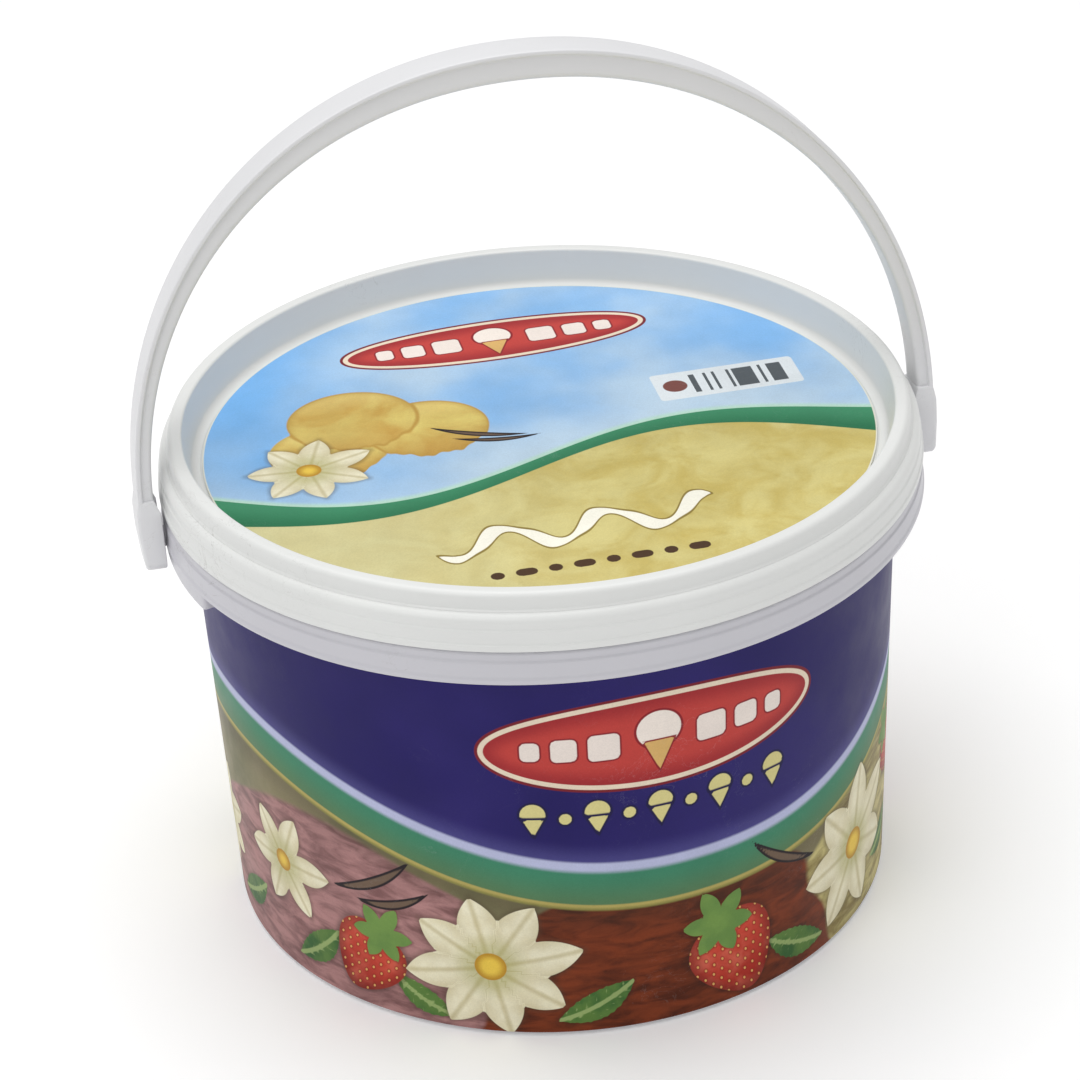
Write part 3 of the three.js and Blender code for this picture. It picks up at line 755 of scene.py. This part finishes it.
def make_moulding():
    """Moulded plastic: slow clouding, fine grain of the tool and a slight sink and swell."""
    made = {"Tone": "f", "Roughness": "f", "Height": "f"}
    net, have, out = new_effect("Moulded plastic", {"Place": "v", "Clouding": "f"}, made)
    slow = net.noise(have["Place"], 22.0, 3.0, 0.55)
    streak = net.noise(net.stretch(have["Place"], (1.0, 1.0, 6.0)), 90.0, 4.0, 0.6)
    fine = net.noise(have["Place"], 1400.0, 2.0, 0.6)
    cloud = net.math("ADD", net.math("MULTIPLY", slow, 0.7), net.math("MULTIPLY", streak, 0.3))
    spread = net.math("MULTIPLY", net.math("SUBTRACT", cloud, 0.5), have["Clouding"])
    net.put(out["Tone"], net.math("ADD", spread, 1.0))
    gloss = net.math("ADD", net.math("MULTIPLY", fine, 0.4), net.math("MULTIPLY", slow, 0.6))
    net.put(out["Roughness"], net.ramp(gloss, 0.3, 0.7, 0.30, 0.46))
    net.put(out["Height"], net.math("ADD", net.math("MULTIPLY", fine, 0.12), slow))
    return net.tree


def make_handling():
    """Handling marks: a few thin wandering scuffs, and fine dust that gathers in patches."""
    net, have, out = new_effect("Handling marks", {"Place": "v", "Amount": "f"}, {"Scuff": "f", "Dust": "f"})
    wander = net.noise(have["Place"], 55.0, 6.0, 0.62, 0.8)
    line = net.ramp(net.math("ABSOLUTE", net.math("SUBTRACT", wander, 0.5)), 0.004, 0.0)
    patch = net.ramp(net.noise(have["Place"], 17.0, 2.0), 0.5, 0.68)
    dust = net.ramp(net.noise(have["Place"], 700.0, 3.0, 0.7), 0.6, 0.75)
    net.put(out["Scuff"], net.math("MULTIPLY", net.math("MULTIPLY", line, patch), have["Amount"]))
    net.put(out["Dust"], net.math("MULTIPLY", net.math("MULTIPLY", dust, patch), have["Amount"]))
    return net.tree


def make_ink():
    """Printed film: ink that lies a little unevenly, with a faint grain, and a waxy surface."""
    made = {"Ink": "c", "Roughness": "f", "Height": "f"}
    net, have, out = new_effect("Printed film", {"Place": "v", "Ink": "c"}, made)
    grain = net.noise(have["Place"], 2200.0, 2.0, 0.6)
    wash = net.noise(have["Place"], 60.0, 4.0, 0.6)
    tone = net.math("ADD", net.ramp(grain, 0.2, 0.8, 0.95, 1.05), net.ramp(wash, 0.25, 0.75, -0.05, 0.05))
    net.put(out["Ink"], net.mix(1.0, have["Ink"], net.grey(tone), "MULTIPLY"))
    net.put(out["Roughness"], net.ramp(wash, 0.25, 0.75, 0.36, 0.48))
    swell = net.noise(have["Place"], 320.0, 3.0)
    net.put(out["Height"], net.math("ADD", net.math("MULTIPLY", grain, 0.25), swell))
    return net.tree


def make_scooped():
    """Scooped ice cream as printed: soft streaks along the scoop's pull and small pits."""
    names = {"Place": "v", "Light": "c", "Dark": "c", "Scale": "f"}
    net, have, out = new_effect("Scooped ice cream", names, {"Ink": "c"})
    pull = net.stretch(have["Place"], (1.0, 1.0, 3.2))
    streak = net.noise(pull, have["Scale"], 5.0, 0.56, 0.7)
    pits = net.cells(net.stretch(have["Place"], (1.0, 1.0, 1.7)), net.math("MULTIPLY", have["Scale"], 4.0))
    share = net.math("ADD", net.ramp(streak, 0.32, 0.7), net.ramp(pits, 0.0, 0.35, 0.2, 0.0), clamp=True)
    net.put(out["Ink"], net.mix(share, have["Light"], have["Dark"]))
    return net.tree


def make_blossom_print():
    """White blossom: petals darker towards their edges, with a ridge down the middle, mottled and
    greener near the core."""
    names = {"Place": "v", "Ground": "c", "Blossom": "f", "Fold": "f", "Core": "f"}
    net, have, out = new_effect("Blossom print", names, {"Ink": "c"})
    shadow = net.shade(have["Ground"], have["Blossom"], 2.2, -0.4, 0.5, "4a3a2c")
    off = net.math("ABSOLUTE", have["Fold"])
    petal = net.mix(net.ramp(off, 0.1, 1.0), tint("efe9cd"), tint("bfb286"))
    mottle = net.ramp(net.noise(have["Place"], 190.0, 4.0, 0.6), 0.35, 0.7, 0.0, 0.5)
    petal = net.mix(mottle, petal, tint("d8cda6"))
    petal = net.shade(petal, off, 0.14, 0.0, 0.55, "b9ab78")
    petal = net.shade(petal, have["Core"], 9.0, 0.0, 0.6, "a8a45e")
    whole = net.mix(net.inside(have["Blossom"]), shadow, petal)
    core = net.mix(net.ramp(have["Core"], -3.0, 0.0), tint("e9c64e"), tint("b98a2c"))
    net.put(out["Ink"], net.mix(net.inside(have["Core"]), whole, core))
    return net.tree


def make_pod_print():
    """Dark pod with a thin light line along it."""
    net, have, out = new_effect("Pod print", {"Ground": "c", "Pod": "f"}, {"Ink": "c"})
    body = net.mix(net.ramp(have["Pod"], -1.0, -0.5), tint("6e5a4a"), tint("241c20"))
    net.put(out["Ink"], net.mix(net.inside(have["Pod"]), have["Ground"], body))
    return net.tree


def make_plaque_print():
    """Oval plaque: red with a pale border and a dark outer line, plain bars, a cone and its ball."""
    names = {"Ground": "c", "Plaque": "f", "Bars": "f", "Cone": "f", "Ball": "f"}
    net, have, out = new_effect("Plaque print", names, {"Ink": "c"})
    ink = net.lay(have["Ground"], have["Plaque"], "7a1f2b", 0.9)
    ink = net.lay(ink, have["Plaque"], "e9d9c2")
    red = net.mix(net.ramp(have["Plaque"], -9.0, -1.0), tint("c2433d"), tint("a02c30"))
    ink = net.mix(net.inside(have["Plaque"], -1.5), ink, red)
    for shape, line, colour in (("Bars", 0.5, "efe3da"), ("Ball", 0.7, "f1e6dc"), ("Cone", 0.5, "d9b06c")):
        ink = net.lay(ink, have[shape], "8a2229", line)
        ink = net.lay(ink, have[shape], colour)
    net.put(out["Ink"], ink)
    return net.tree


MOULDING = make_moulding()
HANDLING = make_handling()
INK = make_ink()
SCOOPED = make_scooped()
BLOSSOM_PRINT = make_blossom_print()
POD_PRINT = make_pod_print()
PLAQUE_PRINT = make_plaque_print()


def new_material(name):
    """Material with its net and its Principled shader."""
    material = bpy.data.materials.new(name)
    material.use_nodes = True
    return material, Net(material.node_tree), material.node_tree.nodes["Principled BSDF"]


def finish(net, shader, ink, made, marks, soil, bump):
    """Joins the ink with its scuffs and dust, the gloss that scuffs dull, and fine relief to the
    Principled shader. The soil is a share and a colour for each kind of mark."""
    for mark, (share, colour) in soil.items():
        ink = net.mix(net.math("MULTIPLY", marks[mark], share), ink, tint(colour))
    net.put(shader.inputs["Base Color"], ink)
    dulled = net.math("MULTIPLY", marks["Scuff"], SCUFF_DULLS)
    net.put(shader.inputs["Roughness"], net.math("ADD", made["Roughness"], dulled))
    values = {"Strength": bump, "Distance": RELIEF, "Height": made["Height"]}
    net.put(shader.inputs["Normal"], net.add("ShaderNodeBump", values).outputs[0])


def plastic(name, colour, dirt, clouding, bump):
    """White moulded plastic: clouded colour, uneven gloss, scuffs, dust and fine relief."""
    material, net, shader = new_material(name)
    place = net.place()
    mould = net.effect(MOULDING, Place=place, Clouding=clouding)
    marks = net.effect(HANDLING, Place=place, Amount=1.0)
    ink = net.mix(1.0, tint(colour), net.grey(mould["Tone"]), "MULTIPLY")
    finish(net, shader, ink, mould, marks, {"Scuff": (0.35, dirt), "Dust": (0.16, dirt)}, bump)
    return material


def film(name, draw):
    """Printed film: the drawing's ink under a waxy surface with scuffs and dust."""
    material, net, shader = new_material(name)
    place = net.place()
    printed = net.effect(INK, Place=place, Ink=draw(net, place))
    marks = net.effect(HANDLING, Place=place, Amount=0.3)
    soil = {"Scuff": (0.3, "e6e6ea"), "Dust": (0.1, "d8d8d8")}
    finish(net, shader, printed["Ink"], printed, marks, soil, FILM_BUMP)
    shader.inputs["Specular IOR Level"].default_value = FILM_SHEEN
    return material


def scooped(net, place, light, dark, scale):
    """Ice cream of two colours with streaks of a scale."""
    return net.effect(SCOOPED, Place=place, Light=tint(light), Dark=tint(dark), Scale=scale)["Ink"]


def draw_blossoms(net, place, ink):
    """Blossoms over an ink, from the piece's own fields."""
    fields = {key: net.field(key.lower()) for key in ("Blossom", "Fold", "Core")}
    return net.effect(BLOSSOM_PRINT, Place=place, Ground=ink, **fields)["Ink"]


def draw_plaque(net, ink):
    """Plaque over an ink, from the piece's own fields."""
    names = {"Plaque": "plaque", "Bars": "plaque bars", "Cone": "cone", "Ball": "ball"}
    fields = {key: net.field(name) for key, name in names.items()}
    return net.effect(PLAQUE_PRINT, Ground=ink, **fields)["Ink"]


def draw_side(net, place):
    """Side print, from the ground up: scoops, green and gold bands, dark upper field, motifs."""
    wave = net.field("wave")
    warm = net.noise(place, 30.0, 4.0, 0.6)
    ink = net.mix(net.ramp(warm, 0.3, 0.7), tint("8d8360"), tint("6b6a4a"))
    for name, soft, light, dark, scale in (
        ("right scoop", 1.2, "cdc182", "857440", 70.0),
        ("left scoop", 1.2, "b08280", "7c5655", 80.0),
        ("middle scoop", 1.0, "7e3719", "4e200d", 75.0),
    ):
        ink = net.mix(net.inside(net.field(name), 0, soft), ink, scooped(net, place, light, dark, scale))
    ink = net.shade(ink, wave, -26.0, -16.0, 0.35, "33271c")
    green = net.mix(net.ramp(wave, -17.0, -3.0), tint("5b7a52"), tint("3f8466"))
    ink = net.mix(net.inside(wave, -15.5, 0.5), tint("8f8a4a"), ink)
    return draw_side_upper(net, place, wave, ink, green)


def draw_side_upper(net, place, wave, ink, green):
    """Bands along the wave, the dark upper field, the row of beads, the plaque and the motifs."""
    lower = net.mix(net.ramp(wave, -15.2, -14.2), ink, tint("b3a45e"))
    lower = net.mix(net.ramp(wave, -13.9, -13.3), lower, green)
    lower = net.mix(net.ramp(wave, -3.4, -1.4), lower, tint("b9bddc"))
    navy = net.mix(net.ramp(net.noise(place, 14.0, 3.0), 0.35, 0.65), tint("1f165c"), tint("2b2269"))
    navy = net.shade(navy, wave, 8.0, 0.0, 0.5, "5d5a9a")
    ink = net.mix(net.ramp(wave, 0.2, 1.4), lower, navy)
    ink = net.lay(ink, net.field("beads"), "1d1846", 0.7)
    ink = net.lay(ink, net.field("beads"), "d9cf8e")
    plaque = draw_plaque(net, ink)
    ink = net.effect(POD_PRINT, Ground=plaque, Pod=net.field("pod"))["Ink"]
    green = net.mix(net.ramp(net.noise(place, 120.0, 3.0), 0.35, 0.65), tint("5c7f3c"), tint("34602f"))
    leaf_ink = net.shade(green, net.field("rib"), 0.55, 0.15, 0.7, "a9bd7a")
    ink = net.shade(ink, net.field("leaf"), 1.6, -0.3, 0.4, "33261c")
    ink = net.mix(net.inside(net.field("leaf")), ink, leaf_ink)
    ink = draw_berries(net, place, ink)
    ink = net.shade(ink, net.field("crown"), 1.0, -0.2, 0.5, "4d120c")
    ink = net.mix(net.inside(net.field("crown")), ink, net.mix(0.4, green, tint("8fb25c")))
    flower = draw_blossoms(net, place, ink)
    seam = net.ramp(net.field("film end"), 0.5, 0.1, 0.0, 0.6)
    return net.mix(seam, flower, tint("1c1838"))


def draw_berries(net, place, ink):
    """Fruit: bright towards the crown and dark at the edge, with rows of small sunken seeds."""
    fruit = net.field("berry")
    across, up = (net.math("DIVIDE", net.field(name), 3.0) for name in ("berry across", "berry up"))
    row = net.math("FLOOR", up)
    shift = net.math("MULTIPLY", net.math("MODULO", net.math("ABSOLUTE", row), 2.0), 0.5)
    part_x = net.math("FRACT", net.math("ADD", net.math("ADD", across, shift), 50.0))
    part_y = net.math("FRACT", net.math("ADD", up, 50.0))
    cell_x = net.math("SUBTRACT", part_x, 0.5)
    cell_y = net.math("MULTIPLY", net.math("SUBTRACT", part_y, 0.5), 0.72)
    away = net.math("SQRT", net.math("ADD", net.math("POWER", cell_x, 2.0), net.math("POWER", cell_y, 2.0)))
    red = net.mix(net.ramp(net.field("berry height"), -1.0, 0.9), tint("a3271b"), tint("cf4a38"))
    red = net.shade(red, net.noise(place, 150.0, 3.0), 0.4, 0.75, 0.5, "e07a62")
    red = net.shade(red, fruit, -4.5, 0.0, 0.6, "651410")
    red = net.shade(red, away, 0.30, 0.16, 0.5, "7d1a12")
    red = net.shade(red, away, 0.15, 0.09, 0.85, "e3b769")
    ink = net.shade(ink, fruit, 2.0, -0.4, 0.5, "2f1a14")
    return net.mix(net.inside(fruit), ink, red)


def draw_lid(net, place):
    """Lid print: sky and gold fields, green band, scoops, pods, blossom, plaque, flourish, beads
    and patch."""
    wave = net.field("wave")
    cloud = net.noise(place, 17.0, 3.0, 0.5)
    sky = net.mix(net.ramp(cloud, 0.32, 0.66), tint("82b6e8"), tint("bad3e8"))
    side = net.add("ShaderNodeSeparateXYZ", {0: place}).outputs[0]
    sky = net.shade(sky, side, -0.02, -0.085, 0.6, "6fb0ea")
    sky = net.shade(sky, wave, 34.0, 2.0, 0.45, "c6d8e4")
    gold = scooped(net, place, "d4c884", "c3b062", 60.0)
    gold = net.shade(gold, side, 0.02, -0.075, 0.6, "d6d3a8")
    ink = net.mix(net.ramp(wave, -0.6, 0.6), gold, sky)
    ink = net.mix(net.ramp(net.field("mint"), 3.2, 0.4), ink, tint("b8dccb"))
    ink = net.mix(net.ramp(wave, 0.0, -0.4), ink, gold)
    green = net.mix(net.ramp(wave, -7.0, 6.0), tint("26714c"), tint("3f8d66"))
    ink = net.mix(net.inside(net.field("band")), ink, green)
    balls = scooped(net, place, "ddca74", "c8a04c", 40.0)
    balls = net.shade(balls, net.field("ball height"), 0.1, -0.9, 0.55, "b98436")
    balls = net.shade(balls, net.field("ball height"), 0.2, 0.8, 0.5, "e9d486")
    balls = net.shade(balls, net.field("balls"), -3.0, 0.0, 0.4, "b08a3a")
    balls = net.lay(balls, net.field("ball rim"), "bd9748", 0, 0.5)
    ink = net.mix(net.inside(net.field("balls"), 0, 0.3), ink, balls)
    ink = net.effect(POD_PRINT, Ground=ink, Pod=net.field("pod"))["Ink"]
    ink = draw_blossoms(net, place, ink)
    ink = draw_plaque(net, ink)
    ink = net.lay(ink, net.field("flourish"), "8d7a3a", 0.7)
    for shape, colour in (("flourish", "f6f3e4"), ("beads", "4a3320"), ("patch", "dfe6ea")):
        ink = net.lay(ink, net.field(shape), colour)
    step = net.math("FLOOR", net.math("MULTIPLY", side, 1150.0))
    chance = net.add("ShaderNodeTexWhiteNoise", {"W": step}, noise_dimensions="1D").outputs[0]
    dark = net.math("MULTIPLY", net.math("GREATER_THAN", chance, 0.48), net.inside(net.field("patch bars")))
    ink = net.mix(dark, ink, tint("545b60"))
    ink = net.lay(ink, net.field("patch dot"), "7b4a44")
    return net.mix(net.ramp(net.field("rim"), 0.5, 0.25), ink, tint("e3e2d6"))


# The tub's plastic is the lid's white plastic made darker and lavender (cbcad0): painted shade from the lid
# above it and a painted reflection of the navy film.
SHADED_TUB_PLASTIC = plastic("Tub plastic", "cbcad0", "8f8b84", 0.10, 0.18)
LID_PLASTIC = plastic("Lid plastic", "e4e5e3", "928e86", 0.10, 0.15)
BAIL_PLASTIC = plastic("Bail plastic", "e2e2e4", "8f8b84", 0.08, 0.20)
SIDE_PRINT = film("Side print", draw_side)
LID_PRINT = film("Lid print", draw_lid)


# Pieces in place


add_piece("tub_shell", *turned(tub_outline()), "tub_plastic", "tub", "tub", SHADED_TUB_PLASTIC)
add_piece("collar_ribs", *collar_ribs(), "tub_plastic", "tub", "tub", SHADED_TUB_PLASTIC)
add_piece("lid_shell", *turned(lid_outline()), "lid_plastic", "lid", "tub", LID_PLASTIC)
for side, word in ((1, "right"), (-1, "left")):
    add_piece(f"{word}_ear", *ear(side), "tub_plastic", "tub", "tub", SHADED_TUB_PLASTIC)
    add_piece(f"{word}_pivot_pin", *pivot_pin(side), "tub_plastic", "tub", "tub", SHADED_TUB_PLASTIC)
    add_piece(f"{word}_lug", *lug(side), "bail_plastic", "handle", "bail", BAIL_PLASTIC)
add_piece("strap", *strap(), "bail_plastic", "handle", "bail", BAIL_PLASTIC)
for name, make, slot, node, material in (
    ("side_film", side_film, "side_print", "side_label", SIDE_PRINT),
    ("lid_film", lid_film, "lid_print", "lid_label", LID_PRINT),
):
    points, faces, fields = make()
    keep_fields(add_piece(name, points, faces, slot, node, "tub", material), fields)


# Floor, light and camera

FLOOR_REACH, FLOOR_DROP, FLOOR_GLOW, SURROUNDINGS_GLOW = 6.0, 0.0002, 0.14, 0.5
LIGHT_AIM = (0, 0, 0.1)
LIGHTS = [
    ("key", (-0.75, -0.8, 1.25), 0.8, 3.6),
    ("fill", (1.2, -0.6, 0.9), 1.0, 0.3),
    ("top", (-0.1, 0.25, 1.9), 1.6, 20.0),
]
CAMERA_AIM, CAMERA_AWAY, LENS, SENSOR = (-0.0014, 0.0003, 0.1056), 1.1037, 126.67, 36.0
CAMERA_RISE, CAMERA_ROLL, CAMERA_TURN = np.radians(29.88), np.radians(-3.21), np.radians(-11)


def pale_floor():
    """Wide square floor with a faint unevenness and a faint glow."""
    material, net, shader = new_material("Pale floor")
    cloud = net.noise(net.place(), 1.5, 3.0)
    net.put(shader.inputs["Base Color"], net.mix(cloud, tint("f6f6f6"), tint("fbfbfb")))
    shader.inputs["Roughness"].default_value = 0.8
    shader.inputs["Emission Color"].default_value = (1.0, 1.0, 1.0, 1.0)
    shader.inputs["Emission Strength"].default_value = FLOOR_GLOW
    mesh = bpy.data.meshes.new("floor")
    r = FLOOR_REACH
    mesh.from_pydata([(-r, -r, 0), (r, -r, 0), (r, r, 0), (-r, r, 0)], [], [(0, 1, 2, 3)])
    mesh.materials.append(material)
    floor = bpy.data.objects.new("floor", mesh)
    floor.location.z = -FLOOR_DROP
    bpy.context.scene.collection.objects.link(floor)


def soft_light(name, place, size, power):
    """Square area light at a place, facing the tub."""
    data = bpy.data.lights.new(name, "AREA")
    data.size = size
    data.energy = power
    lamp = bpy.data.objects.new(name, data)
    lamp.location = place
    lamp.rotation_mode = "QUATERNION"
    lamp.rotation_quaternion = (Vector(LIGHT_AIM) - Vector(place)).to_track_quat("-Z", "Y")
    bpy.context.scene.collection.objects.link(lamp)


def add_camera():
    """Camera at the photo's viewing angle: distance, height, turn and a slight roll."""
    spin = Matrix.Rotation(CAMERA_TURN, 3, "Z")
    right = spin @ Vector((1, 0, 0))
    back = spin @ Vector((0, -np.cos(CAMERA_RISE), np.sin(CAMERA_RISE)))
    up = back.cross(right)
    cos, sin = np.cos(CAMERA_ROLL), np.sin(CAMERA_ROLL)
    level, tall = right * cos + up * sin, up * cos - right * sin
    data = bpy.data.cameras.new("camera")
    data.sensor_width = SENSOR
    data.lens = LENS
    camera = bpy.data.objects.new("camera", data)
    columns = Matrix((level, tall, back)).transposed().to_4x4()
    camera.matrix_world = Matrix.Translation(Vector(CAMERA_AIM) + back * CAMERA_AWAY) @ columns
    bpy.context.scene.collection.objects.link(camera)
    bpy.context.scene.camera = camera


def surroundings():
    """Even pale studio surroundings."""
    world = bpy.data.worlds.new("studio")
    world.use_nodes = True
    world.node_tree.nodes["Background"].inputs[0].default_value = (1.0, 1.0, 1.0, 1.0)
    world.node_tree.nodes["Background"].inputs[1].default_value = SURROUNDINGS_GLOW
    bpy.context.scene.world = world


pale_floor()
for light in LIGHTS:
    soft_light(*light)
add_camera()
surroundings()
bpy.context.scene.view_settings.view_transform = "Standard"
